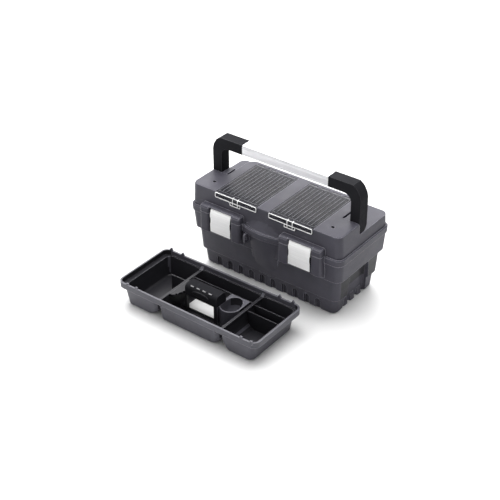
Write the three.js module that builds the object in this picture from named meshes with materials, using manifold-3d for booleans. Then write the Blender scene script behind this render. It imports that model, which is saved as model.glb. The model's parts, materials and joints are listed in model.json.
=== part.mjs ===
// Plastic toolbox with a lift-out tray, a folding aluminium handle and two small-parts organisers in its lid.
// Millimetres. +X runs along the box, -Y is the front with the latches, +Z is up.
// The origin is the middle of the box's underside; the tray stands on the same floor, in front of the box.
import * as THREE from 'three';
import { mergeVertices } from 'three/addons/utils/BufferGeometryUtils.js';
import Module from 'manifold-3d';

const wasm = await Module();
wasm.setup();

// ---- Driving dimensions -------------------------------------------------------------------------------------
const GAP = 0.3;                 // clearance between neighbouring pieces
const WALL = 3;                  // moulded wall of the box and lid
const ARC = Math.PI * 2;

// Box body: half length, half depth and corner radius at each height, from the floor to the rim.
const RIM_Z = 213.5;
const BODY_OUTSIDE = [
  [0, 236.5, 97, 17], [5, 241, 101, 19], [50, 245.5, 105, 20], [54, 251.5, 111, 20], [127, 256, 116.5, 21],
  [131, 266, 124.5, 22], [189, 270, 128.5, 22], [191.5, 273, 131.5, 24], [210, 273.5, 132, 24],
  [RIM_Z, 270.5, 129, 22],
];
const BODY_INSIDE = [
  [WALL, 236, 96, 15], [52, 242, 101.5, 16], [56, 248, 107.5, 17], [129.5, 252.5, 113, 18],
  [133.5, 262.5, 121, 19], [209, 263.5, 122, 20],
];
const SEAT_Z = 209;              // ledge inside the rim that the lid's wall stands on
const SEAT_HALF = [268.5, 127];
const TOP_OVERSHOOT = 3;         // cutters run this far past the face they open

// Underside: short channels between the feet, and a hand grip in each end.
const CHANNEL_COUNT = 10;
const CHANNEL_PITCH = 40.5;
const CHANNEL = { width: 19, depth: 7, height: 38 };
const GRIP_RECESS = { topHalf: 50, bottomHalf: 62, height: 120, backTop: 240, backBottom: 229 };
const END_CHANNEL = { width: 12, depth: 7, height: 24, pitch: 36 };

// Front belly between the latches.
const BELLY = { rimHalf: 76, bulge: 15, panelTopHalf: 58, panelBottomHalf: 40, panelBottomZ: 46 };

// Lid.
const LID_BOTTOM = SEAT_Z + GAP;
const LID_TOP = 284;
const LEDGE_Z = 249.5;           // floor of the recess that the folded handle lies in
const LID_OUTSIDE = [
  [LID_BOTTOM, 267.7, 126.2, 20], [279.5, 264.2, 125.8, 20], [282.6, 262.8, 124.4, 19], [LID_TOP, 259.8, 121.4, 17],
];
const LID_INSIDE = [[LID_BOTTOM - TOP_OVERSHOOT, 264.2, 122.7, 17], [300, 259.7, 121.9, 17]];
const PLATEAU = { side: 204.5, rear: 89, cornerRadius: 28, padRear: -27 };
const PIVOT_BLOCK = { x0: 212, x1: 229, y0: -27, y1: 15 };

// Organiser wells in the lid, right-hand one; the left-hand one mirrors it.
const COVER = { x0: 21, x1: 174.5, y0: -126.2, y1: 79.1, thickness: 3 };
const COVER_SEAT_Z = LID_TOP - COVER.thickness;
const COVER_MARGIN = 0.6;
const COVER_LUGS = [[52, 62], [92.75, 102.75], [133.5, 143.5]];   // lid's lugs, between the cover's barrels
const WELL = { x0: 25, x1: 170.5, y0: -120, y1: 74.5, floor: 243, skin: 2.5 };
const DIVIDER_COUNT = 3;
const DIVIDER = { thickness: 2, top: 275 };
const COVER_AXIS = { y: 76, z: 281.2, radius: 3.1, rodRadius: 1.3 };
const COVER_RIB = { count: 10, width: 1.4, depth: 2.4, y0: -112, y1: 62 };
const FLANGE = { drop: 17, thickness: 3 };
const TAB = { half: 20, drop: 26, thickness: 6.5 };

// Rear hinge of the lid.
const HINGE = { y: 136.5, z: 213, radius: 5.5, pinRadius: 1.9, centre: 165, knuckle: 20 };

// Latches: plate, carrier and pillars, right-hand pair; the left-hand pair mirrors it.
const LATCH = { centre: 142.6, width: 75, bottom: 153.6, top: 230, front: -148, sheet: 1.6, bend: 214 };
const LATCH_AXIS = { y: -138.5, z: 223 };
const LATCH_PIN_RADIUS = 2;
const PILLARS = [[70, 103], [183.5, 218]];
const PILLAR = { front: -150, bottom: 150, top: 236.5, round: 7 };

// Handle.
const PIVOT = { y: -7, z: 269 };
const ARM = { inner: 231, outer: 263.5, depth: 19, top: 400, barBottom: 367, barEnd: 152.5, fillet: 25 };
const PIVOT_PIN = { radius: 4, x0: 214, x1: 252 };
const BAR = { wall: 2.4, tenon: 26 };
const SCREW = { x: 139, headRadius: 4, headHeight: 2, shankRadius: 1.6, length: 11 };

// Tray, in its own frame: origin under the middle of the tray.
const TRAY_PLACE = [-50, -320.5];
const TRAY_RIM = { halfX: 254, halfY: 110, radius: 22, top: 80, ledge: 64, skirt: 61, wall: 5 };
const TRAY_SKIN = 2.5;
const TRAY_BINS = {              // [height, left side, right side] from the floor up to the ledge
  left: [[0, -227, -141], [3, -230.5, -134], [8, -231.5, -126], [16, -232.5, -117], [28, -234, -109.5], [64, -237, -106.5]],
  middle: [[0, -100, 93], [3, -103.5, 99], [8, -104.5, 105.5], [16, -105, 112], [28, -105.5, 117], [64, -107.5, 121]],
  right: [[0, 141, 225], [3, 136.5, 228.5], [8, 131, 229.5], [16, 126, 230.5], [28, 121.5, 232], [64, 119, 237]],
};
const TRAY_BIN_HALF_Y = { floor: 95, slope: 8.5, cornerInset: 3.5 };
const DIVIDER_CAP = { places: [-107, 120], half: 4, rampDepth: 9, rampRise: 9 };
const TRAY_GRIP = { centre: -10, half: 58, front: -23.5, rear: 21.5, top: 97, underside: 61.5, skin: 2.6 };
const TRAY_HOLE = { left: -84, right: 38, front: -11, rear: 56 };
const TRAY_PARTITION_Y = 58;
const TRAY_CUP = { x: 72, radius: 33, y: 12, rings: [[12, 5], [17, 15], [26, 23], [38, 27.5], [52, 29.8], [63, 30.5]] };

const COLOURS = {
  shell: { color: 0x56545e, roughness: 0.55, metalness: 0 },
  tray: { color: 0x4a4951, roughness: 0.5, metalness: 0 },
  black: { color: 0x222126, roughness: 0.5, metalness: 0 },
  clear: { color: 0xb9bac4, roughness: 0.12, metalness: 0, transparent: true, opacity: 0.4 },
  aluminium: { color: 0xd9dade, roughness: 0.32, metalness: 1 },
  steel: { color: 0x9a9ca1, roughness: 0.3, metalness: 1 },
};

// ---- Solids ----------------------------------------------------------------------------------------------------
function solidOf(geometry) {
  geometry.deleteAttribute('normal');
  geometry.deleteAttribute('uv');
  const merged = mergeVertices(geometry, 1e-4);
  const vertProperties = new Float32Array(merged.attributes.position.array);
  const triVerts = new Uint32Array(merged.index.array);
  return new wasm.Manifold(new wasm.Mesh({ numProp: 3, vertProperties, triVerts }));
}

function box(x0, x1, y0, y1, z0, z1) {
  const geometry = new THREE.BoxGeometry(x1 - x0, y1 - y0, z1 - z0);
  return solidOf(geometry.translate((x0 + x1) / 2, (y0 + y1) / 2, (z0 + z1) / 2));
}

const PLACE = {
  x: (u, v, w) => [w, u, v],     // outline in YZ, extruded along X
  y: (u, v, w) => [u, w, v],     // outline in XZ, extruded along Y
  z: (u, v, w) => [u, v, w],     // outline in XY, extruded along Z
};

// Joins rings of points, all with the same count, into one closed solid; each ring is {outline, at}.
function loft(rings, axis = 'z') {
  const count = rings[0].outline.length;
  const place = PLACE[axis];
  const clockwise = THREE.ShapeUtils.isClockWise(rings[0].outline);
  const outlines = rings.map(({ outline }) => (clockwise ? [...outline].reverse() : outline));
  const positions = outlines.flatMap((outline, ring) => outline.flatMap((p) => place(p.x, p.y, rings[ring].at)));
  const faces = [];
  for (let ring = 0; ring + 1 < rings.length; ring += 1) {
    for (let i = 0; i < count; i += 1) {
      const next = (i + 1) % count;
      const low = ring * count;
      const high = low + count;
      faces.push([low + i, low + next, high + next], [low + i, high + next, high + i]);
    }
  }
  const last = (rings.length - 1) * count;
  THREE.ShapeUtils.triangulateShape(outlines[0], []).forEach(([a, b, c]) => faces.push([a, c, b]));
  THREE.ShapeUtils.triangulateShape(outlines.at(-1), [])
    .forEach(([a, b, c]) => faces.push([last + a, last + b, last + c]));
  const turned = axis === 'y' ? faces.map(([a, b, c]) => [a, c, b]) : faces;
  const geometry = new THREE.BufferGeometry();
  geometry.setAttribute('position', new THREE.Float32BufferAttribute(positions, 3));
  geometry.setIndex(turned.flat());
  return solidOf(geometry);
}

const points = (list) => list.map(([u, v]) => new THREE.Vector2(u, v));
const prism = (outline, from, to, axis = 'z') => loft([{ outline, at: from }, { outline, at: to }], axis);

function arc(cx, cy, radius, from, to, steps) {
  const list = [];
  for (let i = 0; i <= steps; i += 1) {
    const angle = THREE.MathUtils.degToRad(from + ((to - from) * i) / steps);
    list.push([cx + radius * Math.cos(angle), cy + radius * Math.sin(angle)]);
  }
  return list;
}

function disc(cx, cy, radius, steps = 16) {
  return points(arc(cx, cy, radius, 0, 360 - 360 / steps, steps - 1));
}

function roundedRectangle(x0, x1, y0, y1, radius, steps = 5) {
  return points([
    ...arc(x1 - radius, y0 + radius, radius, -90, 0, steps), ...arc(x1 - radius, y1 - radius, radius, 0, 90, steps),
    ...arc(x0 + radius, y1 - radius, radius, 90, 180, steps), ...arc(x0 + radius, y0 + radius, radius, 180, 270, steps),
  ]);
}

function shellLoft(profile) {
  return loft(profile.map(([at, halfX, halfY, radius]) => (
    { at, outline: roundedRectangle(-halfX, halfX, -halfY, halfY, radius, 6) })));
}

const rod = (y, z, radius, x0, x1, steps = 16) => prism(disc(y, z, radius, steps), x0, x1, 'x');
const mirrorX = (solid) => solid.mirror([1, 0, 0]);
const bothSides = (solid) => solid.add(mirrorX(solid));
const joined = (first, ...rest) => rest.reduce((sum, solid) => sum.add(solid), first);
const without = (first, ...rest) => rest.reduce((sum, solid) => sum.subtract(solid), first);

// ---- Box body ----------------------------------------------------------------------------------------------------
function channelCutters(extra) {
  const cutters = [];
  for (let i = 0; i < CHANNEL_COUNT; i += 1) {
    const x = (i - (CHANNEL_COUNT - 1) / 2) * CHANNEL_PITCH;
    const half = CHANNEL.width / 2 + extra;
    const top = CHANNEL.height + extra;
    const outline = points([[x - half, -1], [x + half, -1], [x + half, top - 6], [x + half - 6, top],
      [x - half + 6, top], [x - half, top - 6]]);
    const back = 101 - CHANNEL.depth - extra;
    cutters.push(prism(outline, -130, -back, 'y'), prism(outline, back, 130, 'y'));
  }
  return joined(...cutters);
}

function gripRecess(extra) {
  const { topHalf, bottomHalf, height, backTop, backBottom } = GRIP_RECESS;
  const ring = (half, back, at) => (
    { at, outline: roundedRectangle(back - extra, 320, -half - extra, half + extra, 9, 3) });
  const side = loft([ring(bottomHalf, backBottom, -1), ring(bottomHalf - 6, backBottom + 4, 60 + extra),
    ring(topHalf, backTop, height - 8 + extra), ring(topHalf - 6, backTop + 5, height + extra)]);
  return bothSides(side);
}

function endFeet() {
  const { backBottom } = GRIP_RECESS;
  const feet = [-1, 0, 1].map((i) => {
    const y = i * END_CHANNEL.pitch;
    const half = (END_CHANNEL.pitch - END_CHANNEL.width) / 2;
    return loft([
      { at: 0, outline: roundedRectangle(backBottom - 6, 237, y - half, y + half, 5, 3) },
      { at: END_CHANNEL.height, outline: roundedRectangle(backBottom - 4, 233, y - half + 3, y + half - 3, 2, 3) },
    ]);
  });
  return bothSides(joined(...feet));
}

function bellyOutline(half, y, bulge) {
  const radius = (half * half + bulge * bulge) / (2 * bulge);
  const swing = THREE.MathUtils.radToDeg(Math.asin(half / radius));
  const front = arc(0, y - bulge + radius, radius, -90 - swing, -90 + swing, 14);
  return points([...front, [half, y + 14], [-half, y + 14]]);
}

function baseBelly() {
  const { rimHalf, bulge, panelTopHalf, panelBottomHalf, panelBottomZ } = BELLY;
  const rim = loft([
    { at: 186, outline: bellyOutline(rimHalf - 10, -129, 7) }, { at: 191.5, outline: bellyOutline(rimHalf, -131, bulge) },
    { at: 210, outline: bellyOutline(rimHalf, -131.5, bulge) },
    { at: RIM_Z, outline: bellyOutline(rimHalf - 4, -129.5, bulge - 1) },
  ]);
  const panel = loft([
    { at: panelBottomZ, outline: bellyOutline(panelBottomHalf, -103.5, 4) },
    { at: 90, outline: bellyOutline(panelBottomHalf + 4, -113, 8) },
    { at: 140, outline: bellyOutline(panelBottomHalf + 10, -123, 10) },
    { at: 190, outline: bellyOutline(panelTopHalf, -127, 11) },
  ]);
  return rim.add(panel);
}

function pillarOutline([x0, x1], wallY) {
  const { front, round } = PILLAR;
  return points([...arc(x0 + round, front + round, round, 180, 270, 4), ...arc(x1 - round, front + round, round, 270, 360, 4),
    [x1, wallY], [x0, wallY]]);
}

function basePillars() {
  const top = RIM_Z;
  const right = PILLARS.map((range) => loft([
    { at: PILLAR.bottom - 14, outline: pillarOutline([range[0] + 2, range[1] - 2], -115).map((p) => (
      new THREE.Vector2(p.x, Math.max(p.y, -127)))) },
    { at: PILLAR.bottom, outline: pillarOutline(range, -115) },
    { at: top, outline: pillarOutline(range, -115) },
  ]));
  const catchLedge = prism(points([[-120, 166], [-135.5, 172], [-135.5, 178], [-120, 184]]), 112, 173, 'x');
  return bothSides(joined(...right, catchLedge));
}

function padlockEar(z0, z1) {
  const outline = points([[-122, z0], [-146, z0], [-149, z0 + 4], [-149, z1 - 4], [-146, z1], [-122, z1]]);
  const hole = prism(disc(-141.5, (z0 + z1) / 2, 3.6, 12), -70, -40, 'x');
  return prism(outline, -56, -50, 'x').subtract(hole);
}

function hingeKnuckle(x0, x1, foot) {
  return joined(rod(HINGE.y, HINGE.z, HINGE.radius, x0, x1), prism(points(foot), x0, x1, 'x'));
}

function baseKnuckles() {
  const { centre, knuckle, y, z } = HINGE;
  const foot = [[125, 192], [y - 1, 205], [y + 4.5, z - 3], [y - 4, z - 0.5], [125, z - 4.4]];
  const inner = hingeKnuckle(centre - 1.5 * knuckle, centre - knuckle / 2, foot);
  const outer = hingeKnuckle(centre + knuckle / 2, centre + 1.5 * knuckle, foot);
  return bothSides(inner.add(outer));
}

function baseShell() {
  const outside = joined(shellLoft(BODY_OUTSIDE), baseBelly(), basePillars(), padlockEar(160, 190), baseKnuckles());
  const hollow = shellLoft(BODY_INSIDE).subtract(channelCutters(WALL)).subtract(gripRecess(WALL));
  const seat = shellLoft([[SEAT_Z, ...SEAT_HALF, 20.5], [RIM_Z + TOP_OVERSHOOT, ...SEAT_HALF, 20.5]]);
  const lidKnuckleRoom = bothSides(box(HINGE.centre - 10.5, HINGE.centre + 10.5, 127, 150, SEAT_Z - 6, 260));
  const pinHole = bothSides(rod(HINGE.y, HINGE.z, HINGE.pinRadius + GAP, HINGE.centre - 60, HINGE.centre + 60));
  const cut = without(outside, channelCutters(0), gripRecess(0)).add(endFeet());
  return without(cut, hollow, seat, lidKnuckleRoom, pinHole);
}

// ---- Lid -----------------------------------------------------------------------------------------------------------
function plateauOutline(inset) {
  const { side, rear, cornerRadius, padRear } = PLATEAU;
  const s = side - inset;
  const r = cornerRadius - inset / 2;
  const y = padRear - inset;
  return points([[-290, -150], [290, -150], [290, y], [s, y], ...arc(s - r, rear - inset - r, r, 0, 90, 6),
    ...arc(-s + r, rear - inset - r, r, 90, 180, 6), [-s, y], [-290, y]]);
}

function lidBody() {
  const whole = shellLoft(LID_OUTSIDE);
  const lower = whole.intersect(box(-300, 300, -200, 200, LID_BOTTOM - 1, LEDGE_Z));
  const upper = whole.intersect(prism(plateauOutline(0), LEDGE_Z - 1, LID_TOP + 1));
  const inner = shellLoft(LID_INSIDE);
  const lowerRoom = inner.intersect(box(-300, 300, -200, 200, 0, LEDGE_Z - WALL));
  const upperRoom = inner.intersect(prism(plateauOutline(WALL), LEDGE_Z - WALL - 1, LID_TOP - WALL));
  return lower.add(upper).subtract(lowerRoom.add(upperRoom));
}

function wellTub() {
  const { x0, x1, y0, y1, floor, skin } = WELL;
  const walls = box(x0 - skin, x1 + skin, y0 - skin, y1 + skin, floor - skin, LID_TOP - 1);
  const flange = box(COVER.x0 - 4, COVER.x1 + 4, -124, COVER.y1 + 4, COVER_SEAT_Z - 6, LID_TOP - 1);
  return walls.add(flange);
}

function wellRoom() {
  const { x0, x1, y0, y1, floor } = WELL;
  const seat = box(COVER.x0 - COVER_MARGIN, COVER.x1 + COVER_MARGIN, -140, COVER.y1 + COVER_MARGIN, COVER_SEAT_Z - GAP,
    LID_TOP + 5);
  const room = box(x0, x1, y0, y1, floor, LID_TOP + 5);
  const gutter = box(COVER.x0 - COVER_MARGIN, COVER.x1 + COVER_MARGIN, COVER_AXIS.y - 5, COVER.y1 + COVER_MARGIN,
    COVER_AXIS.z - 3.6, LID_TOP + 5);
  return joined(seat, room, gutter);
}

function lidCoverLugs() {
  const { y, z } = COVER_AXIS;
  const lugs = COVER_LUGS.map(([x0, x1]) => joined(rod(y, z, 2.5, x0, x1, 12), box(x0, x1, y - 1, y + 5, z - 5, z)));
  return joined(...lugs);
}

function lidPillars() {
  const { top, round, front } = PILLAR;
  const bottom = RIM_Z + GAP;
  const heads = PILLARS.map((range) => loft([
    { at: bottom, outline: pillarOutline(range, -122) }, { at: top - round, outline: pillarOutline(range, -122) },
    { at: top - 2, outline: pillarOutline([range[0] + 1.5, range[1] - 1.5], -122).map((p) => (
      new THREE.Vector2(p.x, Math.max(p.y, front + 3)))) },
    { at: top, outline: pillarOutline([range[0] + 4, range[1] - 4], -122).map((p) => (
      new THREE.Vector2(p.x, Math.max(p.y, front + 7)))) },
  ]));
  const brow = prism(points([[-122, 232.8], [-122, top], [-140, top], [-144.5, top - 1.5], [-144.5, 232.8]]),
    PILLARS[0][1] - 4, PILLARS[1][0] + 4, 'x');
  const pinHoles = rod(LATCH_AXIS.y, LATCH_AXIS.z, LATCH_PIN_RADIUS + GAP, PILLARS[0][1] - 9, PILLARS[1][0] + 9);
  const wallFill = box(PILLARS[0][0], PILLARS[1][1], -126, -122, bottom, top);
  return bothSides(joined(...heads, brow).subtract(wallFill).subtract(pinHoles));
}

function lidBelly() {
  const { rimHalf, bulge } = BELLY;
  const front = box(-100, 100, -160, -123.2, RIM_Z, 260);
  return front.intersect(loft([
    { at: RIM_Z + GAP, outline: bellyOutline(rimHalf - 8, -124, bulge + 2.5) },
    { at: 222, outline: bellyOutline(rimHalf - 14, -123, 13) },
    { at: 240, outline: bellyOutline(rimHalf - 22, -120.5, 6.5) },
    { at: 252, outline: bellyOutline(rimHalf - 30, -118, 5) },
  ]));
}

function lidKnuckles() {
  const { centre, knuckle, y, z } = HINGE;
  const half = knuckle / 2 - GAP;
  const foot = [[122, 214.5], [y, z - 1], [y + 5, z + 1.5], [y + 1, z + 5.4], [122, 232]];
  return bothSides(hingeKnuckle(centre - half, centre + half, foot));
}

function lidShell() {
  const { x0, x1, y0, y1 } = PIVOT_BLOCK;
  const blocks = bothSides(box(x0, x1, y0 - 1, y1, LEDGE_Z - 1, LID_TOP - 0.4));
  const pocketWalls = bothSides(box(205.5, 218.5, -89.5, -77.5, LID_TOP - 8.5, LID_TOP - 1));
  const solid = joined(lidBody(), pocketWalls, bothSides(wellTub()), blocks, lidPillars(), lidBelly(), lidKnuckles());
  const bellyRoom = loft([
    { at: RIM_Z - 10, outline: bellyOutline(BELLY.rimHalf - 13, -121, BELLY.bulge) },
    { at: 236, outline: bellyOutline(BELLY.rimHalf - 27, -117.5, 4) },
  ]);
  const padPockets = bothSides(box(207, 217, -88, -79, LID_TOP - 7, LID_TOP + 1));
  const rod1 = bothSides(rod(COVER_AXIS.y, COVER_AXIS.z, COVER_AXIS.rodRadius + GAP, COVER.x0 - 3, COVER.x1 + 3, 12));
  const pivotHole = bothSides(rod(PIVOT.y, PIVOT.z, PIVOT_PIN.radius + GAP, PIVOT_PIN.x0 - 0.5, PIVOT_PIN.x1));
  const pinHole = bothSides(rod(HINGE.y, HINGE.z, HINGE.pinRadius + GAP, HINGE.centre - 60, HINGE.centre + 60));
  const opened = solid.subtract(bothSides(wellRoom())).add(bothSides(lidCoverLugs()));
  return without(opened, bellyRoom, padPockets, rod1, pivotHole, pinHole);
}

// ---- Organiser covers and dividers ---------------------------------------------------------------------------------
function cover() {
  const { x0, x1, y0 } = COVER;
  const { y, z, radius, rodRadius } = COVER_AXIS;
  const top = z + radius;
  const panel = prism(roundedRectangle(x0, x1, y0 - FLANGE.thickness, y + 3, 3, 2), COVER_SEAT_Z, top)
    .intersect(box(x0, x1, y0 - 10, y, 0, 400));
  const barrel = rod(y, z, radius, x0, x1, 20);
  const flange = box(x0 + 1, x1 - 1, y0 - FLANGE.thickness, y0 - GAP, LID_TOP - FLANGE.drop, top - 1);
  const middle = (x0 + x1) / 2;
  const tabFront = y0 - TAB.thickness;
  const tabOutline = points([[y0 - GAP, LID_TOP - TAB.drop], [y0 - GAP, top - 1], [tabFront + 2, top - 2],
    [tabFront, LID_TOP - 8], [tabFront, LID_TOP - TAB.drop + 3], [tabFront + 2, LID_TOP - TAB.drop]]);
  const tab = prism(tabOutline, middle - TAB.half, middle + TAB.half, 'x');
  const ribStep = (WELL.x1 - WELL.x0) / (COVER_RIB.count + 1);
  const ribs = Array.from({ length: COVER_RIB.count }, (_, i) => {
    const x = WELL.x0 + ribStep * (i + 1);
    return box(x - COVER_RIB.width / 2, x + COVER_RIB.width / 2, COVER_RIB.y0, COVER_RIB.y1,
      COVER_SEAT_Z - COVER_RIB.depth, COVER_SEAT_Z + 1);
  });
  const notches = COVER_LUGS.map(([a, b]) => box(a - 0.5, b + 0.5, y - radius - 0.6, y + 10, z - 8, z + 8));
  const bore = rod(y, z, rodRadius + GAP, x0 - 1, x1 + 1, 12);
  return joined(panel, barrel, flange, tab, ...ribs).subtract(joined(...notches, bore));
}

function dividerPlaces() {
  const step = (WELL.x1 - WELL.x0) / (DIVIDER_COUNT + 1);
  return Array.from({ length: DIVIDER_COUNT }, (_, i) => WELL.x0 + step * (i + 1));
}

function divider(x) {
  const { y0, y1, floor } = WELL;
  const half = DIVIDER.thickness / 2;
  const top = DIVIDER.top;
  const outline = points([[y0 + GAP, floor + GAP], [y1 - 5.5, floor + GAP], [y1 - 5.5, top - 14], [y1 - 12, top - 6],
    [y1 - 30, top], [y0 + 8, top], [y0 + GAP, top - 8]]);
  return prism(outline, x - half, x + half, 'x');
}

const coverRod = () => rod(COVER_AXIS.y, COVER_AXIS.z, COVER_AXIS.rodRadius, COVER.x0 - 2.5, COVER.x1 + 2.5, 12);

// ---- Rear hinge pins -------------------------------------------------------------------------------------------------
function hingePin() {
  const { centre, knuckle } = HINGE;
  const shank = rod(HINGE.y, HINGE.z, HINGE.pinRadius, centre - 1.5 * knuckle - 1, centre + 1.5 * knuckle + 1);
  const head = rod(HINGE.y, HINGE.z, 3.4, centre + 1.5 * knuckle + GAP, centre + 1.5 * knuckle + 2.2);
  return shank.add(head);
}

// ---- Latches -----------------------------------------------------------------------------------------------------------
function latchPlate() {
  const { centre, width, bottom, top, front, sheet, bend } = LATCH;
  const outline = points([[front, bottom], [front + sheet, bottom], [front + sheet, bend - 0.6],
    [front + sheet + 5.6, top], [front + 5.6, top], [front, bend]]);
  const strip = prism(outline, centre - width / 2, centre + width / 2, 'x');
  const waist = (side) => prism(points([[39, 172], [36, 186], [36, 200], [39, 212]].map(
    ([x, z]) => [centre + side * x, z])), -160, -130, 'y');
  return without(strip, waist(1), waist(-1));
}

function latchCarrier() {
  const { centre, width, front, sheet, bottom, top } = LATCH;
  const half = width / 2 - 2.5;
  const face = front + sheet + GAP;
  const back = face + 3;
  const plate = prism(points([[face, bottom + 2], [back, bottom + 2], [back, LATCH.bend - 1], [back + 3, 219],
    [face + 4.8, 226], [face, LATCH.bend - 1]]), centre - half, centre + half, 'x');
  const barrel = rod(LATCH_AXIS.y, LATCH_AXIS.z, 4, centre - half, centre + half);
  const hook = prism(points([[back - 1, bottom + 3], [back + 5.5, bottom + 6], [back + 6.8, bottom + 12], [back - 1, bottom + 9]]),
    centre - 24, centre + 24, 'x');
  const bore = rod(LATCH_AXIS.y, LATCH_AXIS.z, LATCH_PIN_RADIUS + GAP, centre - 50, centre + 50);
  const clearOfPlate = box(centre - 60, centre + 60, face - 8, face + 12, 226.5, top + 5);
  return joined(plate, barrel, hook).subtract(bore).subtract(clearOfPlate);
}

function latchPin() {
  return rod(LATCH_AXIS.y, LATCH_AXIS.z, LATCH_PIN_RADIUS, PILLARS[0][1] - 8, PILLARS[1][0] + 8);
}

// ---- Handle ------------------------------------------------------------------------------------------------------------
function barSection(inset) {
  const { depth, top, barBottom } = ARM;
  const y0 = PIVOT.y - depth + inset;
  const y1 = PIVOT.y + depth - inset;
  const z0 = barBottom + inset;
  const z1 = top - 1 - inset;
  return points([[y0, z0 + 4], [y0 + 1.5, z0], [y1 - 1.5, z0], [y1, z0 + 4], [y1, z1 - 5], [y1 - 4, z1], [y0 + 4, z1],
    [y0, z1 - 5]]);
}

function handleArm() {
  const { inner, outer, depth, top, barBottom, barEnd, fillet } = ARM;
  const outline = points([[inner, PIVOT.z], [outer, PIVOT.z], [outer, 357], [260, 372], [250, 389], [236, top],
    [barEnd, top], [barEnd, barBottom], ...arc(inner - fillet, barBottom - fillet, fillet, 90, 0, 6)]);
  const body = prism(outline, PIVOT.y - depth, PIVOT.y + depth, 'y');
  const foot = rod(PIVOT.y, PIVOT.z, depth, inner, outer, 28);
  const tenon = prism(barSection(BAR.wall + GAP), barEnd - BAR.tenon, barEnd + 1, 'x');
  const bore = rod(PIVOT.y, PIVOT.z, PIVOT_PIN.radius + GAP, inner - 1, PIVOT_PIN.x1 + 1);
  return without(joined(body, foot, tenon), bore, screwHole());
}

function screwHole() {
  const { x, headRadius, shankRadius, length } = SCREW;
  const shank = prism(disc(x, PIVOT.y, shankRadius + GAP, 12), ARM.barBottom - 2, ARM.barBottom + length + 0.5);
  return shank.add(prism(disc(x, PIVOT.y, headRadius + GAP, 16), ARM.barBottom - 2, ARM.barBottom + BAR.wall + GAP));
}

function gripBar() {
  const end = ARM.barEnd - GAP;
  const hollow = prism(barSection(BAR.wall), -end - 1, end + 1, 'x');
  return prism(barSection(0), -end, end, 'x').subtract(hollow).subtract(bothSides(screwHole()));
}

function handleScrew() {
  const { x, headRadius, headHeight, shankRadius, length } = SCREW;
  const head = prism(disc(x, PIVOT.y, headRadius, 16), ARM.barBottom + GAP, ARM.barBottom + GAP + headHeight);
  const shank = prism(disc(x, PIVOT.y, shankRadius, 12), ARM.barBottom + 1, ARM.barBottom + length);
  const socket = prism(disc(x, PIVOT.y, 1.6, 6), ARM.barBottom - 1, ARM.barBottom + 1.5);
  return head.add(shank).subtract(socket);
}

const pivotPin = () => rod(PIVOT.y, PIVOT.z, PIVOT_PIN.radius, PIVOT_PIN.x0, PIVOT_PIN.x1);

// ---- Tray ----------------------------------------------------------------------------------------------------------------
function trayBin(levels, skin, topZ) {
  const { floor, slope, cornerInset } = TRAY_BIN_HALF_Y;
  const rings = levels.map(([z, x0, x1]) => {
    const halfY = floor + (slope * z) / TRAY_RIM.ledge - (z < 3 ? cornerInset : 0) - skin;
    const at = z + skin * (1 - z / TRAY_RIM.ledge);
    return { at, outline: roundedRectangle(x0 + skin, x1 - skin, -halfY, halfY, 16 - skin, 5) };
  });
  return loft(topZ > TRAY_RIM.ledge ? [...rings, { ...rings.at(-1), at: topZ }] : rings);
}

function rimRing(inset, z0, z1) {
  const { halfX, halfY, radius } = TRAY_RIM;
  return prism(roundedRectangle(-halfX + inset, halfX - inset, -halfY + inset, halfY - inset, radius - inset, 5), z0, z1);
}

function rimTeeth() {
  const { halfY, top } = TRAY_RIM;
  const teeth = [-231, -186, 175, 222].map((x) => prism(points([[x - 6, top - 6], [x + 6, top - 6], [x + 6, top + 1],
    [x + 1.5, top + 9], [x - 1.5, top + 9], [x - 6, top + 1]]), halfY - 5, halfY - 0.6, 'y'));
  const clips = [-214, -180, 202, 237].map((x) => prism(points([[x - 5, top - 8], [x + 5, top - 8], [x + 5, top + 3],
    [x + 3, top + 5], [x - 3, top + 5], [x - 5, top + 3]]), -halfY + 0.6, -halfY + 5, 'y'));
  return joined(...teeth, ...clips);
}

function dividerCaps() {
  const { places, half, rampDepth, rampRise } = DIVIDER_CAP;
  const { ledge, halfY, wall } = TRAY_RIM;
  const caps = places.map((x) => {
    const strip = box(x - half, x + half, -TRAY_BIN_HALF_Y.floor - 6, TRAY_BIN_HALF_Y.floor + 6, ledge - 4, ledge);
    const end = halfY - wall + 0.5;
    const ramp = points([[end - rampDepth, ledge - 1], [end, ledge - 1], [end, ledge + rampRise]]);
    return strip.add(prism(ramp, x - half, x + half, 'x'));
  });
  return joined(...caps);
}

function middleBinWalls() {
  const { centre, half, underside, front } = TRAY_GRIP;
  const [, x0, x1] = TRAY_BINS.middle.at(-1);
  const top = underside - GAP;
  const long = box(x0 + 1, x1 - 1, TRAY_PARTITION_Y, TRAY_PARTITION_Y + TRAY_SKIN, 1, TRAY_RIM.ledge - 2);
  const rightX = centre + half - 2;
  const right = joined(box(rightX - 1.5, rightX + 1.5, front + 3, TRAY_PARTITION_Y + 1, 1, top),
    box(rightX - 11, rightX + 1.5, front + 3, TRAY_HOLE.front, 1, top));
  const leftX = centre - half;
  const left = box(leftX - 3, leftX + 4, front + 2, TRAY_HOLE.front, 1, top);
  const sill = box(TRAY_HOLE.left - 1, TRAY_HOLE.right + 1, TRAY_HOLE.front - TRAY_SKIN, TRAY_HOLE.front, 1, 9);
  return joined(long, right, left, sill);
}

function cupOutline(inset) {
  const { x, y, radius } = TRAY_CUP;
  const r = radius - inset;
  return points([...arc(x, y, r, 180, 360, 12), [x + r, TRAY_PARTITION_Y + 1 - inset],
    [x - r, TRAY_PARTITION_Y + 1 - inset]]);
}

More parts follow.
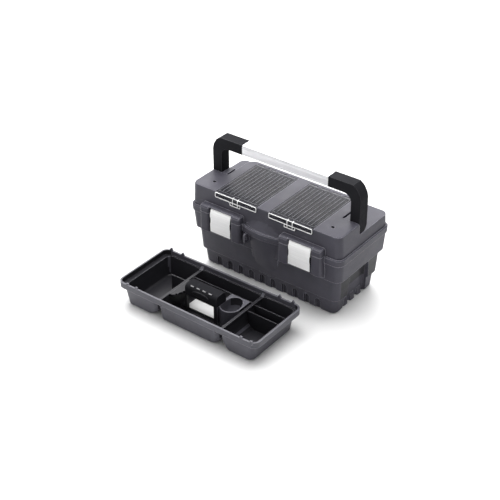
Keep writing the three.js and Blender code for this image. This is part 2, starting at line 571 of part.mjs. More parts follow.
function cupBowl(extra) {
  const { x, y, rings } = TRAY_CUP;
  return loft(rings.map(([z, r], i) => {
    const grown = r + extra;
    const rear = Math.min(TRAY_PARTITION_Y - 1 + extra, y + r * 1.45 + extra);
    const outline = points([...arc(x, y, grown, 180, 360, 12),
      ...arc(x, y, 1, 15, 165, 6).map(([u, v]) => [x + (u - x) * grown * 0.98, y + (v - y) * (rear - y)])]);
    return { at: i === 0 ? z - extra : z, outline };
  }));
}

function trayCup() {
  return prism(cupOutline(0), 1, TRAY_RIM.ledge - 3).subtract(cupBowl(0));
}

function cupCore() {
  return prism(cupOutline(TRAY_SKIN), -1, TRAY_RIM.ledge - 3 - TRAY_SKIN).subtract(cupBowl(TRAY_SKIN));
}

function bitShelf() {
  const x = TRAY_BINS.middle.at(-1)[1] + 1;
  const outline = points([[x, -54], [x + 14, -48], [x + 22, -38], [x + 24, -26], [x + 38, -12], [x + 38, 12], [x + 28, 26],
    [x, 38]]);
  const scallops = [[20, -42], [25.5, -30], [30, -18]].map(([u, y]) => prism(disc(x + u, y, 4.2, 12), 50, 70));
  return without(prism(outline, 56, TRAY_RIM.ledge - 0.5), ...scallops);
}

function sidePartitions() {
  const { left, right } = TRAY_BINS;
  const height = 60;
  const inLeft = box(left.at(-1)[2] - 60, left.at(-1)[2] - 1, 30.5, 32.7, 1, height);
  const inRight = [22, 56].map((y) => box(right.at(-1)[1] + 1, right.at(-1)[2] - 1, y, y + 2.2, 1, height));
  return joined(inLeft, ...inRight).intersect(joined(...Object.values(TRAY_BINS).map((bin) => (
    trayBin(bin, 0, TRAY_RIM.ledge)))));
}

function frontVents() {
  const vents = [-92, 106].map((x) => prism(points([[x - 6, 57], [x + 6, 57], [x, 46]]), -110, -96, 'y'));
  return joined(...vents);
}

function frontCreases() {
  return joined(...DIVIDER_CAP.places.map((x) => joined(box(x - 1.6, x + 1.6, -120, -97.5, -1, 57),
    box(x - 1.6, x + 1.6, 97.5, 120, -1, 57))));
}

function trayShell() {
  const bins = Object.values(TRAY_BINS);
  const { ledge, skirt, top, wall } = TRAY_RIM;
  const outside = joined(rimRing(0, skirt, top), ...bins.map((bin) => trayBin(bin, 0, ledge)));
  const rooms = joined(rimRing(wall, ledge, top + TOP_OVERSHOOT), ...bins.map((bin) => trayBin(bin, TRAY_SKIN, ledge + 2)));
  const hole = box(TRAY_HOLE.left, TRAY_HOLE.right, TRAY_HOLE.front, TRAY_HOLE.rear, -1, TRAY_SKIN + 2);
  const fitted = joined(middleBinWalls(), trayCup(), bitShelf()).intersect(trayBin(TRAY_BINS.middle, 0, ledge));
  const whole = joined(outside.subtract(rooms), fitted, sidePartitions(), dividerCaps(), rimTeeth());
  return without(whole, hole, cupCore(), frontVents(), frontCreases());
}

function trayHandle() {
  const { centre, half, front, rear, top, underside, skin } = TRAY_GRIP;
  const outline = (inset) => points([
    [front + inset, underside], [front + inset, top - 12], ...arc(front + 12, top - 12, 12 - inset, 180, 90, 4),
    ...arc(rear - 12, top - 12, 12 - inset, 90, 0, 4), [rear - inset, top - 12], [rear - inset, underside],
  ].filter((p, i, list) => i === 0 || Math.hypot(p[0] - list[i - 1][0], p[1] - list[i - 1][1]) > 0.01));
  const x0 = centre - half;
  const x1 = centre + half;
  const hull = prism(outline(0), x0, x1, 'x');
  const room = prism(outline(skin), x0 + skin, x1 - skin, 'x').add(
    box(x0 + skin, x1 - skin, front + skin, rear - skin, underside - 1, underside + 1));
  const knurls = [0, 1, 2, 3].map((i) => {
    const x = x0 + 24 + i * 22;
    return prism(points([[x - 7, front + 6], [x + 7, front + 6], [x + 7, front + 9], [x - 7, front + 9]]), top - 4, top + 1.2);
  });
  const pad = prism(points(arc(centre, top - 17, 1, 0, 330, 11).map(([x, z]) => (
    [centre + (x - centre) * 30, top - 17 + (z - top + 17) * 9]))), front - 2, front + 1, 'y');
  return joined(hull.subtract(room), ...knurls, pad);
}

// ---- Assembly --------------------------------------------------------------------------------------------------------------
function mesh(name, solid, colour) {
  const { vertProperties, triVerts } = solid.getMesh();
  const geometry = new THREE.BufferGeometry();
  geometry.setAttribute('position', new THREE.Float32BufferAttribute(vertProperties, 3));
  geometry.setIndex(new THREE.Uint32BufferAttribute(triVerts, 1));
  const piece = new THREE.Mesh(geometry, new THREE.MeshStandardMaterial(COLOURS[colour]));
  piece.name = name;
  return piece;
}

function pair(group, name, solid, colour) {
  group.add(mesh(`${name}_right`, solid, colour), mesh(`${name}_left`, mirrorX(solid), colour));
}

function trayGroup() {
  const tray = new THREE.Group();
  tray.add(mesh('tray_shell', trayShell(), 'tray'), mesh('tray_handle', trayHandle(), 'black'));
  tray.position.set(...TRAY_PLACE, 0);
  return tray;
}

function toolbox() {
  const box1 = new THREE.Group();
  box1.add(mesh('base_shell', baseShell(), 'shell'), mesh('lid_shell', lidShell(), 'shell'));
  pair(box1, 'hinge_pin', hingePin(), 'steel');
  pair(box1, 'organiser_cover', cover(), 'clear');
  pair(box1, 'cover_hinge_rod', coverRod(), 'steel');
  dividerPlaces().forEach((x, i) => pair(box1, `divider_${i + 1}`, divider(x), 'black'));
  pair(box1, 'latch_plate', latchPlate(), 'aluminium');
  pair(box1, 'latch_carrier', latchCarrier(), 'black');
  pair(box1, 'latch_pin', latchPin(), 'steel');
  pair(box1, 'handle_arm', handleArm(), 'black');
  pair(box1, 'handle_pivot_pin', pivotPin(), 'steel');
  pair(box1, 'handle_screw', handleScrew(), 'steel');
  box1.add(mesh('grip_bar', gripBar(), 'aluminium'), trayGroup());
  return box1;
}

export default toolbox();
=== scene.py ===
import json
import math

import bmesh
import bpy
from mathutils import Matrix, Vector
from mathutils.bvhtree import BVHTree


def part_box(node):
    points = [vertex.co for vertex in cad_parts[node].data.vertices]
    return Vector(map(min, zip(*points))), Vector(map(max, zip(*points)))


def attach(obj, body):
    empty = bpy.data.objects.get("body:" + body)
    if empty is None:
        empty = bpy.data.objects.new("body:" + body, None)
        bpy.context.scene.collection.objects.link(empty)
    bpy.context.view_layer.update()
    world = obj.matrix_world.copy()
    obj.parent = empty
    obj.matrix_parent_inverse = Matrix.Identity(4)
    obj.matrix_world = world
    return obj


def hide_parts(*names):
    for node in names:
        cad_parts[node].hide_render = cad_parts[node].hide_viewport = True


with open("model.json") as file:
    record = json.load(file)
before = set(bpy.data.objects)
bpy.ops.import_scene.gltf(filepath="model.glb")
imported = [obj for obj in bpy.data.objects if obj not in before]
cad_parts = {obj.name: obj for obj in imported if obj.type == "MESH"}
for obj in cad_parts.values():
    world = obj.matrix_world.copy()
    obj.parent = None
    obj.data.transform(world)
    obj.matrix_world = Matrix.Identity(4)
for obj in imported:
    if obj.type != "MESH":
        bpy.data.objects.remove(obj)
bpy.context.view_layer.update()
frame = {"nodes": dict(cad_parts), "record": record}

# Lengths are in millimetres and angles in degrees unless a comment says otherwise.
MM = 0.001
SIDES = {"right": 1, "left": -1}
EDGE_ANGLE = 28         # an edge whose faces turn by more than this is sharp
FLAT_ANGLE = 2.0        # faces that turn by less than this are joined into one
WELD_DISTANCE = 0.02
NORMAL_WEIGHT = 90


# ---- Materials ----
WEAR_AND_HIGHLIGHT_SAMPLES = 6
MIX_FACTOR, MIX_FIRST, MIX_SECOND, MIX_RESULT = 0, 6, 7, 2   # sockets of a Mix node for colours
FLOW_SCALE, SCUFF_SCALE, PIT_SCALE, FINE_SCALE = 7.0, 26.0, 420.0, 1500.0
SCUFF_STRETCH = (1.0, 1.0, 2.6)
DARKER, LIGHTER = 0.84, 1.16                                 # a colour's marks, against the colour itself
PIT_DEPTH, FINE_DEPTH = 0.0003, 0.00012                      # metres
HAZE_SCALE, RIPPLE_SCALE = 30.0, 90.0
LINE_SCALE, CLOUD_SCALE = 5.0, 22.0
SURFACE_DEPTH = 0.0002                                       # metres, for clear plastic and metal
METAL_EDGE = 0.5


class Nodes:
    """A small helper around a material's node tree."""

    def __init__(self, name):
        self.material = bpy.data.materials.new(name)
        self.material.use_nodes = True
        self.tree = self.material.node_tree
        self.tree.nodes.clear()
        self.output = self.tree.nodes.new("ShaderNodeOutputMaterial")
        self.shader = self.tree.nodes.new("ShaderNodeBsdfPrincipled")
        self.link(self.shader, "BSDF", self.output, "Surface")
        self.where = self.add("ShaderNodeTexCoord")

    def add(self, kind, **values):
        node = self.tree.nodes.new(kind)
        for key, value in values.items():
            if hasattr(node, key):
                setattr(node, key, value)
            else:
                node.inputs[key.replace("_", " ")].default_value = value
        return node

    def link(self, source, out, target, into):
        self.tree.links.new(source.outputs[out], target.inputs[into])

    def stretched(self, scale):
        mapping = self.add("ShaderNodeMapping", Scale=scale)
        self.link(self.where, "Object", mapping, "Vector")
        return mapping

    def noise(self, scale, detail=3.0, roughness=0.6, stretch=None):
        node = self.add("ShaderNodeTexNoise", Scale=scale, Detail=detail, Roughness=roughness)
        if stretch:
            self.link(self.stretched(stretch), "Vector", node, "Vector")
        else:
            self.link(self.where, "Object", node, "Vector")
        return node

    def ramp(self, source, out, stops):
        node = self.add("ShaderNodeValToRGB")
        elements = node.color_ramp.elements
        while len(elements) < len(stops):
            elements.new(0.5)
        for element, (place, colour) in zip(elements, stops):
            element.position = place
            element.color = (*colour, 1.0)
        self.link(source, out, node, "Fac")
        return node

    def spread(self, source, out, low, high, start=0.0, end=1.0):
        node = self.add("ShaderNodeMapRange")
        for socket, value in (("From Min", start), ("From Max", end), ("To Min", low), ("To Max", high)):
            node.inputs[socket].default_value = value
        self.link(source, out, node, "Value")
        return node

    def bump(self, source, out, strength, distance, below=None):
        node = self.add("ShaderNodeBump", Strength=strength, Distance=distance)
        self.link(source, out, node, "Height")
        if below:
            self.link(below[0], below[1], node, "Normal")
        return node

    def edge_wear_and_highlight(self, radius, low, high):
        """1 on edges, which get lightened for real rubbing and as a painted highlight, and 0 on flat faces,
        from how far a rounded normal leans off the true one.
        """
        bevel = self.add("ShaderNodeBevel", Radius=radius)
        bevel.samples = WEAR_AND_HIGHLIGHT_SAMPLES
        flat = self.add("ShaderNodeNewGeometry")
        dot = self.add("ShaderNodeVectorMath", operation="DOT_PRODUCT")
        self.link(bevel, "Normal", dot, 0)
        self.link(flat, "Normal", dot, 1)
        return bevel, self.spread(dot, "Value", 1.0, 0.0, low, high)

    def mixed(self, factor, first, second):
        """Colour mix; first and second are (node, output) pairs or plain colours."""
        node = self.add("ShaderNodeMix", data_type="RGBA")
        self.tree.links.new(factor[0].outputs[factor[1]], node.inputs[MIX_FACTOR])
        for index, value in ((MIX_FIRST, first), (MIX_SECOND, second)):
            if isinstance(value[0], (int, float)):
                node.inputs[index].default_value = (*value, 1.0)
            else:
                self.tree.links.new(value[0].outputs[value[1]], node.inputs[index])
        return node


def plastic(name, colour, roughness, grain, worn_and_highlight, edge=1.1, specular=0.5, wear_and_highlight_to=0.8, index=1.5,
            lean=(0.80, 0.985)):
    """Moulded plastic: a spark-eroded grain, faint flow marks, handling scuffs, and lightened edges that are
    partly real rubbing and partly a painted highlight.

    The second colour is used for the scuffs and the lightened edges, edge is how wide the lightened band is
    and the strength argument how strong.
    lean holds the lean at which an edge is fully lightened and the lean at which it is clean.
    """
    m = Nodes(name)
    bevel, wear_and_highlight = m.edge_wear_and_highlight(edge * MM, *lean)
    flow = m.noise(FLOW_SCALE, 5.0, 0.55)
    dark = [c * DARKER for c in colour]
    light = [c * LIGHTER for c in colour]
    body = m.ramp(flow, "Fac", [(0.32, dark), (0.68, light)])
    scuffs = m.noise(SCUFF_SCALE, 6.0, 0.75, stretch=SCUFF_STRETCH)
    scuffed = m.mixed((m.spread(scuffs, "Fac", 0.0, 0.3, 0.62, 0.80), "Result"), (body, "Color"), worn_and_highlight)
    # Edges take the second colour, broken up by the scuff noise: partly real rubbing, partly a painted
    # highlight along the edges.
    broken = m.add("ShaderNodeMath", operation="MULTIPLY")
    m.link(wear_and_highlight, "Result", broken, 0)
    m.link(m.spread(scuffs, "Fac", wear_and_highlight_to * 0.5, wear_and_highlight_to, 0.35, 0.65), "Result", broken, 1)
    rubbed_and_highlit = m.mixed((broken, "Value"), (scuffed, MIX_RESULT), worn_and_highlight)
    m.link(rubbed_and_highlit, MIX_RESULT, m.shader, "Base Color")
    sheen = m.spread(scuffs, "Fac", roughness - 0.06, roughness + 0.08, 0.3, 0.7)
    m.link(sheen, "Result", m.shader, "Roughness")
    m.shader.inputs["IOR"].default_value = index
    m.shader.inputs["Specular IOR Level"].default_value = specular
    pits = m.noise(PIT_SCALE, 3.0, 0.7)
    fine = m.noise(FINE_SCALE, 2.0, 0.5)
    coarse = m.bump(pits, "Fac", grain, PIT_DEPTH, below=(bevel, "Normal"))
    m.link(m.bump(fine, "Fac", grain, FINE_DEPTH, below=(coarse, "Normal")), "Normal", m.shader, "Normal")
    return m.material


def clear_plastic(name, tint, alpha, roughness, index=1.3):
    """Thin clear moulding: see-through to 1 - alpha, with a light haze and handling smears."""
    m = Nodes(name)
    haze = m.noise(HAZE_SCALE, 4.0)
    hazed = m.ramp(haze, "Fac", [(0.3, [c * 0.85 for c in tint]), (0.7, tint)])
    m.link(hazed, "Color", m.shader, "Base Color")
    smears = m.spread(haze, "Fac", roughness, roughness + 0.12, 0.3, 0.7)
    m.link(smears, "Result", m.shader, "Roughness")
    ripple = m.bump(m.noise(RIPPLE_SCALE, 3.0), "Fac", 0.15, SURFACE_DEPTH)
    m.link(ripple, "Normal", m.shader, "Normal")
    m.shader.inputs["IOR"].default_value = index
    m.shader.inputs["Alpha"].default_value = alpha
    return m.material


def metal(name, colour, roughness, stretch, scratch=0.15, metallic=1.0):
    """Brushed metal; stretch squeezes the noise across the brushing direction."""
    m = Nodes(name)
    lines = m.noise(LINE_SCALE, 8.0, 0.75, stretch=stretch)
    cloud = m.noise(CLOUD_SCALE, 4.0)
    brushed = m.ramp(lines, "Fac", [(0.3, [c * DARKER for c in colour]), (0.7, colour)])
    m.link(brushed, "Color", m.shader, "Base Color")
    m.shader.inputs["Metallic"].default_value = metallic
    m.shader.inputs["Anisotropic"].default_value = 0.4
    sheen = m.spread(cloud, "Fac", roughness - 0.06, roughness + 0.1, 0.3, 0.7)
    m.link(sheen, "Result", m.shader, "Roughness")
    bevel = m.add("ShaderNodeBevel", Radius=METAL_EDGE * MM)
    scratched = m.bump(lines, "Fac", scratch, SURFACE_DEPTH, below=(bevel, "Normal"))
    m.link(scratched, "Normal", m.shader, "Normal")
    return m.material


MATERIALS = {
    # The shell and tray plastics have wide, strong lightened edges: partly real rubbing, partly a painted
    # highlight line along the edges.
    "shell_plastic": plastic("shell_plastic", (0.057, 0.055, 0.070), 0.50, 0.5, (0.31, 0.305, 0.35),
                             edge=3.2, specular=0.22, wear_and_highlight_to=0.95, lean=(0.90, 0.997)),
    "tray_plastic": plastic("tray_plastic", (0.064, 0.063, 0.077), 0.42, 0.4, (0.34, 0.335, 0.38),
                            edge=2.2, specular=0.4, wear_and_highlight_to=0.95, lean=(0.88, 0.995)),
    "black_plastic": plastic("black_plastic", (0.0165, 0.0165, 0.0190), 0.62, 0.6, (0.10, 0.10, 0.11),
                             edge=1.7, index=1.09),
    "clear_plastic": clear_plastic("clear_plastic", (0.06, 0.06, 0.07), 0.27, 0.2, index=1.2),
    "aluminium": metal("aluminium", (0.70, 0.70, 0.72), 0.34, (1.0, 55.0, 55.0), metallic=0.85),
    "steel_pin": metal("steel_pin", (0.52, 0.52, 0.54), 0.3, (1.0, 40.0, 40.0)),
}
# A darker plastic for the tray's floors and inner walls: painted shade.
TRAY_PAINTED_SHADE = plastic("tray_painted_shade", (0.0190, 0.0186, 0.0220),
                      0.36, 0.4, (0.16, 0.158, 0.17), edge=1.0, index=1.2)
# A darker plastic for the wells under the covers, the pad pockets and the end grip recesses: painted shade.
WELL_PAINTED_SHADE = plastic("well_painted_shade", (0.014, 0.0137, 0.017),
                      0.5, 0.4, (0.2, 0.2, 0.22), edge=1.0, specular=0.3)
# White clear plastic for the beads along the cover's flange, snap tab and springs: painted highlight lines.
CLEAR_EDGE_HIGHLIGHT = clear_plastic("clear_plastic_edge_highlight", (1.0, 1.0, 1.0), 0.95, 0.15, index=1.45)
# A lighter grey for the ribs and the frame round each well on the covers: painted highlight lines.
CLEAR_RIB_HIGHLIGHT = clear_plastic("clear_plastic_rib_highlight", (0.26, 0.26, 0.285), 0.9, 0.25, index=1.3)
LATCH_METAL = metal("latch_aluminium", (1.0, 1.0, 1.0), 0.5, (1.0, 20.0, 90.0), scratch=0.4, metallic=0.2)
# Lighter plastics for the rounded convex edges of the refined mouldings: a painted highlight along the edges.
SHELL_EDGE_HIGHLIGHT = plastic("shell_edge_highlight", (0.17, 0.166, 0.195), 0.40, 0.3, (0.34, 0.33, 0.37), edge=0.3)
TRAY_EDGE_HIGHLIGHT = plastic("tray_edge_highlight", (0.19, 0.187, 0.215), 0.34, 0.3, (0.36, 0.355, 0.39), edge=0.3)
BLACK_EDGE_HIGHLIGHT = plastic("black_edge_highlight", (0.040, 0.040, 0.045), 0.48, 0.5, (0.10, 0.10, 0.11), edge=0.3,
                     index=1.25)
# A light grey for the tray grip's ridges: painted glints.
GRIP_RIDGE_GLINT = plastic("grip_ridge_glint", (0.34, 0.34, 0.35), 0.22, 0.2, (0.6, 0.6, 0.62), edge=0.4)

for part in frame["record"]["subparts"]:
    node = frame["nodes"][part["node"]]
    node.data.materials.clear()
    node.data.materials.append(MATERIALS[part["material_slot"]])


# ---- Mesh helpers ----
def new_object(name, mesh, material):
    piece = bpy.data.objects.new(name, mesh)
    bpy.context.collection.objects.link(piece)
    mesh.materials.clear()
    mesh.materials.append(material)
    return piece


def softened(piece, width, segments=3, angle=32):
    """Rounds the sharp edges with real geometry and shades the rest smooth."""
    bevel = piece.modifiers.new("edges", "BEVEL")
    bevel.width = width * MM
    bevel.segments = segments
    bevel.limit_method = "ANGLE"
    bevel.angle_limit = math.radians(angle)
    bevel.use_clamp_overlap = True
    bevel.harden_normals = True
    for polygon in piece.data.polygons:
        polygon.use_smooth = True
    return piece


def refined(node_name, body, slot, width, segments=3, material=None, edge_highlight_material=None, inside=None,
            crisp=None):
    """A copy of a CAD node's shape with its flat facets joined up and its convex edges rounded.

    The edge material, if given, colours the rounded convex edges lighter as a painted highlight.
    inside is a (test, material) pair: faces that pass the test get that material, a darker plastic painted as
    shade.
    crisp is a test on an edge's middle, in millimetres, for convex edges that stay sharp.
    """
    mesh = frame["nodes"][node_name].data.copy()
    mesh.name = f"{node_name}_looks"
    shape = bmesh.new()
    shape.from_mesh(mesh)
    bmesh.ops.remove_doubles(shape, verts=shape.verts, dist=WELD_DISTANCE * MM)
    bmesh.ops.dissolve_limit(shape, angle_limit=math.radians(FLAT_ANGLE), verts=shape.verts,
                             edges=shape.edges)
    weight = shape.edges.layers.float.new("bevel_weight_edge")
    sharp = math.radians(EDGE_ANGLE)
    for edge in shape.edges:
        angle = edge.calc_face_angle_signed(0.0)
        edge.smooth = abs(angle) < sharp
        middle = (edge.verts[0].co + edge.verts[1].co) / (2 * MM)
        edge[weight] = 1.0 if angle > sharp and not (crisp and crisp(middle)) else 0.0
    for face in shape.faces:
        face.smooth = True
    shape.to_mesh(mesh)
    shape.free()
    piece = new_object(f"{node_name}_looks", mesh, material or MATERIALS[slot])
    if inside:
        paint_shade_inside(piece, *inside)
    bevel = piece.modifiers.new("edges", "BEVEL")
    bevel.width = width * MM
    bevel.segments = segments
    bevel.limit_method = "WEIGHT"
    normals = piece.modifiers.new("normals", "WEIGHTED_NORMAL")
    normals.keep_sharp = True
    normals.weight = NORMAL_WEIGHT
    if edge_highlight_material:
        piece.data.materials.append(edge_highlight_material)
        bevel.material = len(piece.data.materials) - 1
    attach(piece, body)
    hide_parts(node_name)
    return piece


def paint_shade_inside(piece, is_inside, material):
    """Gives the faces that is_inside picks by their corners, centre and normal a second, darker material
    painted as shade.
    """
    piece.data.materials.append(material)
    corners = [v.co / MM for v in piece.data.vertices]
    for polygon in piece.data.polygons:
        if is_inside([corners[i] for i in polygon.vertices], polygon.center / MM, polygon.normal):
            polygon.material_index = 1


def extruded(name, outline, start, end, material):
    """A closed solid from an outline of (y, z) millimetres, pushed from start to end along X."""
    shape = bmesh.new()
    rings = [[shape.verts.new(Vector((x, y, z)) * MM) for y, z in outline] for x in (start, end)]
    count = len(outline)
    for i in range(count):
        j = (i + 1) % count
        shape.faces.new((rings[0][i], rings[0][j], rings[1][j], rings[1][i]))
    shape.faces.new(rings[0])
    shape.faces.new(rings[1])
    bmesh.ops.recalc_face_normals(shape, faces=shape.faces)
    mesh = bpy.data.meshes.new(name)
    shape.to_mesh(mesh)
    shape.free()
    return new_object(name, mesh, material)


def bead(name, points, radius, material, closed=True):
    """A round bead along a path of millimetre points."""
    curve = bpy.data.curves.new(name, "CURVE")
    curve.dimensions = "3D"
    curve.bevel_depth = radius * MM
    curve.bevel_resolution = 3
    curve.use_fill_caps = True
    path = curve.splines.new("POLY")
    path.points.add(len(points) - 1)
    for point, place in zip(path.points, points):
        point.co = (*(Vector(place) * MM), 1.0)
    path.use_cyclic_u = closed
    helper = bpy.data.objects.new(f"{name}_path", curve)
    bpy.context.collection.objects.link(helper)
    mesh = bpy.data.meshes.new_from_object(helper.evaluated_get(bpy.context.evaluated_depsgraph_get()))
    bpy.data.objects.remove(helper)
    bpy.data.curves.remove(curve)
    for polygon in mesh.polygons:
        polygon.use_smooth = True
    return new_object(name, mesh, material)


def arc(cx, cy, radius, start, end, steps):
    angles = [math.radians(start + (end - start) * i / steps) for i in range(steps + 1)]
    return [(cx + radius * math.cos(a), cy + radius * math.sin(a)) for a in angles]


def rounded(x0, x1, y0, y1, radius, steps=4):
    """A rectangle's outline with rounded corners, anticlockwise."""
    left, right, low, high = x0 + radius, x1 - radius, y0 + radius, y1 - radius
    corners = ((right, low, -90), (right, high, 0), (left, high, 90), (left, low, 180))
    return [point for x, y, start in corners for point in arc(x, y, radius, start, start + 90, steps)]


def in_mm(node):
    low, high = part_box(node)
    return [c / MM for c in low], [c / MM for c in high]


def rides(piece, body):
    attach(piece, body)
    return piece


# ---- Organiser covers: clear mouldings with white beads painted as highlights around the flange and the snap tab, and ribs painted as highlight lines ----
WELL_SPAN = (25.0, 170.5)
RIB_COUNT = 10
RIB_ENDS = (-111.0, 61.0)
FLANGE_INSET, TAB_INSET, TOP_INSET = 3.2, 0.5, 1.2      # from the cover's front edge, the same, and its top
FLANGE_HEIGHT = 15.5
TAB_HALF = 18.5
SPRING_HALF = 9.0                                       # from the tab's middle to each spring
FLANGE_BEAD, TAB_BEAD, RIB_BEAD, FRAME_BEAD = 1.15, 1.2, 0.62, 0.42


def rib_places(sign):
    step = (WELL_SPAN[1] - WELL_SPAN[0]) / (RIB_COUNT + 1)
    return [sign * (WELL_SPAN[0] + step * (i + 1)) for i in range(RIB_COUNT)]


def cover_looks(side):
    node = f"organiser_cover_{side}"
    body = f"cover_{side}"
    refined(node, body, "clear_plastic", 0.5, 2)
    low, high = in_mm(node)
    middle = (low[0] + high[0]) / 2
    flange_y, tab_y = low[1] + FLANGE_INSET, low[1] + TAB_INSET
    top = high[2] - TOP_INSET

    def lay(label, path, radius, material, closed=True):
        rides(bead(f"{node}_{label}", path, radius, material, closed), body)

    flange = rounded(low[0] + 2, high[0] - 2, top - FLANGE_HEIGHT, top, 3)
    lay("flange_bead", [(x, flange_y, z) for x, z in flange], FLANGE_BEAD, CLEAR_EDGE_HIGHLIGHT)
    # The ribs and the frame round the well are beads in a lighter grey: painted highlight lines on the clear
    # moulding.
    for number, x in enumerate(rib_places(SIDES[side])):
        path = [(x, RIB_ENDS[0], top + 1.0), (x, RIB_ENDS[1], top + 1.0)]
        lay(f"rib_{number + 1}", path, RIB_BEAD, CLEAR_RIB_HIGHLIGHT, closed=False)
    well = rounded(low[0] + 4.5, high[0] - 4.5, RIB_ENDS[0] - 5, RIB_ENDS[1] + 8, 4)
    lay("frame_bead", [(x, y, top + 1.0) for x, y in well], FRAME_BEAD, CLEAR_RIB_HIGHLIGHT)
    tab = rounded(middle - TAB_HALF, middle + TAB_HALF, low[2] + 1.5, low[2] + 11, 2.5)
    lay("tab_bead", [(x, tab_y + 0.3, z) for x, z in tab], TAB_BEAD, CLEAR_EDGE_HIGHLIGHT)
    for number, x in enumerate((middle - SPRING_HALF, middle + SPRING_HALF)):
        path = [(x, flange_y + 6.0, top + 0.6), (x, flange_y - 1.2, top), (x, tab_y + 0.6, top - 5.0),
                (x, tab_y + 0.6, low[2] + 4)]
        lay(f"tab_spring_{number + 1}", path, TAB_BEAD, CLEAR_EDGE_HIGHLIGHT, closed=False)


# ---- Grip bar: an aluminium extrusion with finger grooves ----
def grip_bar_looks():
    low, high = in_mm("grip_bar")
    y0, y1, z0, z1 = low[1], high[1], low[2], high[2]
    front = [(y0 + 3.0, z1), (y0 + 1.0, z1 - 1.6), (y0, z1 - 4.5), (y0, z1 - 8.2), (y0 + 0.9, z1 - 8.8),
             (y0 + 0.9, z1 - 9.8), (y0, z1 - 10.4), (y0, z0 + 7.4), (y0 + 0.9, z0 + 6.8),
             (y0 + 0.9, z0 + 5.6), (y0, z0 + 5.0), (y0, z0 + 2.2), (y0 + 1.6, z0)]
    rear = [(y0 + y1 - y, z) for y, z in reversed(front)]
    top = [(y1 - 9, z1), (y1 - 9.6, z1 - 0.7), (y1 - 10.6, z1 - 0.7), (y1 - 11.2, z1), (y0 + 11.2, z1),
           (y0 + 10.6, z1 - 0.7), (y0 + 9.6, z1 - 0.7), (y0 + 9, z1)]
    solid = extruded("grip_bar_looks", front + rear + top, low[0], high[0], MATERIALS["aluminium"])
    bar = softened(solid, 0.35, 2, 25)
    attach(bar, "handle")
    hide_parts("grip_bar")


# ---- Latches ----
def latch_looks(side):
    body = f"latch_{side}"
    refined(f"latch_plate_{side}", body, "aluminium", 0.5, 3, LATCH_METAL)
    refined(f"latch_carrier_{side}", body, "black_plastic", 0.6, 3)


# ---- Wells under the covers, and the tray ----
# Boxes of (low, high) along X, Y and Z, for the right-hand side; each has a mirror image on the left.
# Faces inside the pad pocket, well and end grip boxes get painted shade.
PAD_POCKET_EDGES = ((205, 219), (-90, -77))
PAD_POCKET = (*PAD_POCKET_EDGES, (270, 283.5))
WELL = ((24.5, 171), (-121, 75), (242, 279))
END_GRIP = ((236, 263), (-51, 51), (52, 111))
BAR_HALF = 154

TRAY_CENTRE = Vector((-50.0, -320.5, 0.0))
TRAY_CUP = (Vector((72.0, 12.0)), 36.0)         # centre from TRAY_CENTRE, and radius
TRAY_CAPS = (-107.0, 120.0)                     # the X of the caps over the gaps between bins
CAP_HALF = 4.6
CAP_BOTTOM, RIM_BOTTOM = 63, 78.5
UNDERSIDE, UPWARD = -0.3, 0.75                  # the normal's Z on undersides and on floors
RAY_START, RAY_LENGTH = 0.0005, 0.6             # metres

RIDGE_COUNT, RIDGE_FIRST, RIDGE_STEP, RIDGE_HALF = 4, 24, 22, 5.5


def within(place, box):
    return all(low < value < high for value, (low, high) in zip((abs(place.x), place.y, place.z), box))


def at_bar_end(middle):
    return abs(middle.x) < BAR_HALF


def at_pad_pocket(middle):
    return within(middle, PAD_POCKET_EDGES)


def in_well(corners, centre, normal):
    return within(centre, PAD_POCKET) or within(centre, WELL)


def in_end_grip(corners, centre, normal):
    return within(centre, END_GRIP)


def tray_looks():
    source = frame["nodes"]["tray_shell"].data
    tree = BVHTree.FromPolygons([v.co for v in source.vertices], [p.vertices for p in source.polygons])
    cup, radius = TRAY_CUP

    def inside(corners, centre, normal):
        """Floors, and faces that look at another part of the tray, but not the cup, the caps or the rim:
        these get painted shade.
        """
        local = [corner - TRAY_CENTRE for corner in corners]
        in_cup = ((centre - TRAY_CENTRE).xy - cup).length < radius
        in_cup = in_cup and all((p.xy - cup).length < 2 * radius for p in local)
        near_cap = any(all(abs(p.x - cap) < CAP_HALF for p in local) for cap in TRAY_CAPS)
        on_cap = centre.z > CAP_BOTTOM and near_cap
        if in_cup or on_cap or centre.z > RIM_BOTTOM or normal.z < UNDERSIDE:
            return False
        if normal.z > UPWARD:
            return True
        return tree.ray_cast(centre * MM + normal * RAY_START, normal, RAY_LENGTH)[0] is not None

    # The tray's floors and inner walls get painted shade, and its convex edges a painted highlight.
    refined("tray_shell", "tray", "tray_plastic", 0.7, 2, edge_highlight_material=TRAY_EDGE_HIGHLIGHT,
            inside=(inside, TRAY_PAINTED_SHADE))


def grip_ridges():
    low, high = in_mm("tray_handle")
    y, z = low[1] + 2 + 6.2, high[2] - 2.4
    outline = [(y - 2.2, z - 1.0), (y - 1.6, z + 0.9), (y + 0.9, z + 2.3), (y + 2.2, z + 2.2),
               (y + 2.2, z - 1.0)]
    # The ridges are coloured light grey as painted glints.
    for number in range(RIDGE_COUNT):
        x = low[0] + RIDGE_FIRST + number * RIDGE_STEP
        name = f"tray_handle_ridge_{number + 1}"
        ridge = softened(extruded(name, outline, x - RIDGE_HALF, x + RIDGE_HALF, GRIP_RIDGE_GLINT), 0.5, 2)
        rides(ridge, "tray")


# The handle arms and the tray handle get a lighter, painted highlight on their rounded convex edges.
for side in SIDES:
    cover_looks(side)
    latch_looks(side)
    refined(f"handle_arm_{side}", "handle", "black_plastic", 1.6, 3, edge_highlight_material=BLACK_EDGE_HIGHLIGHT,
            crisp=at_bar_end)
    for number in (1, 2, 3):
        refined(f"divider_{number}_{side}", "lid", "black_plastic", 0.5, 2)
grip_bar_looks()
refined("tray_handle", "tray", "black_plastic", 0.8, 2, edge_highlight_material=BLACK_EDGE_HIGHLIGHT)
grip_ridges()
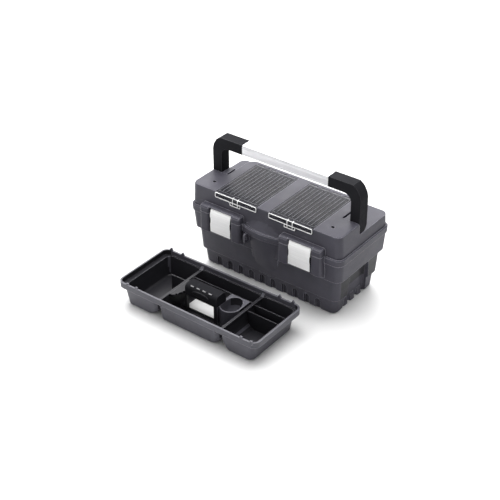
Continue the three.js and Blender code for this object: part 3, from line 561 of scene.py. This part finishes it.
# The end grip recesses, the wells and the pad pockets get painted shade, and the convex edges a painted
# highlight.
refined("base_shell", "base", "shell_plastic", 1.0, 2, edge_highlight_material=SHELL_EDGE_HIGHLIGHT,
        inside=(in_end_grip, WELL_PAINTED_SHADE))
refined("lid_shell", "lid", "shell_plastic", 1.1, 3, edge_highlight_material=SHELL_EDGE_HIGHLIGHT,
        inside=(in_well, WELL_PAINTED_SHADE), crisp=at_pad_pocket)
tray_looks()


# ---- Floor, lights and camera ----
# These are in metres and watts.
FLOOR_HALF = 6.0
FLOOR_COLOUR = (0.84, 0.84, 0.84, 1)
SKY_LEFT, SKY_RIGHT = 0.74, 0.30                # the sky's strength towards -X and towards +X
LIGHTS = (                                      # name, place, target, size and power
    ("overhead", (-0.35, 0.35, 2.2), (-0.1, 0.0, 0.1), (3.0, 2.6), 112),
    ("sheen", (-2.0, 2.9, 2.6), (0, 0, 0.3), (2.2, 1.6), 90),
    ("front", (-0.6, -3.0, 0.75), (-0.05, -0.1, 0.08), (2.0, 1.0), 6),
)
EYE = (1.68378, -2.36803, 1.99451)
EYE_TURN, EYE_TILT, EYE_ROLL = 37.684, 56.605, -0.42
LENS, SENSOR, FAR_CLIP = 82.68, 36, 100         # millimetres, millimetres and metres


def stage():
    half = FLOOR_HALF
    mesh = bpy.data.meshes.new("floor")
    corners = [(-half, -half, 0), (half, -half, 0), (half, half, 0), (-half, half, 0)]
    mesh.from_pydata(corners, [], [(0, 1, 2, 3)])
    m = Nodes("floor")
    m.shader.inputs["Base Color"].default_value = FLOOR_COLOUR
    m.shader.inputs["Roughness"].default_value = 0.9
    new_object("floor", mesh, m.material)


def area_light(name, place, target, size, power):
    light = bpy.data.lights.new(name, "AREA")
    light.shape = "RECTANGLE"
    light.size, light.size_y = size
    light.energy = power
    lamp = bpy.data.objects.new(name, light)
    lamp.location = place
    lamp.rotation_euler = (Vector(target) - Vector(place)).to_track_quat("-Z", "Y").to_euler()
    bpy.context.collection.objects.link(lamp)


def lights():
    """A pale studio, dimmer towards +X, with a large softbox above, one behind and a weak fill in front."""
    world = bpy.data.worlds.new("studio")
    world.use_nodes = True
    tree = world.node_tree
    background = tree.nodes["Background"]
    background.inputs["Color"].default_value = (1, 1, 1, 1)
    where = tree.nodes.new("ShaderNodeTexCoord")
    split = tree.nodes.new("ShaderNodeSeparateXYZ")
    fade = tree.nodes.new("ShaderNodeMapRange")
    for socket, value in (("From Min", -1.0), ("From Max", 1.0), ("To Min", SKY_LEFT), ("To Max", SKY_RIGHT)):
        fade.inputs[socket].default_value = value
    tree.links.new(where.outputs["Generated"], split.inputs[0])
    tree.links.new(split.outputs["X"], fade.inputs["Value"])
    tree.links.new(fade.outputs["Result"], background.inputs["Strength"])
    bpy.context.scene.world = world
    for light in LIGHTS:
        area_light(*light)


def camera():
    data = bpy.data.cameras.new("camera")
    data.sensor_width = SENSOR
    data.lens = LENS
    data.clip_end = FAR_CLIP
    eye = bpy.data.objects.new("camera", data)
    turns = ((EYE_TURN, "Z"), (EYE_TILT, "X"), (EYE_ROLL, "Z"))
    turn, tilt, roll = (Matrix.Rotation(math.radians(angle), 4, axis) for angle, axis in turns)
    eye.matrix_world = Matrix.Translation(EYE) @ (turn @ tilt) @ roll
    bpy.context.collection.objects.link(eye)
    bpy.context.scene.camera = eye


stage()
lights()
camera()
bpy.context.scene.view_settings.view_transform = "Standard"
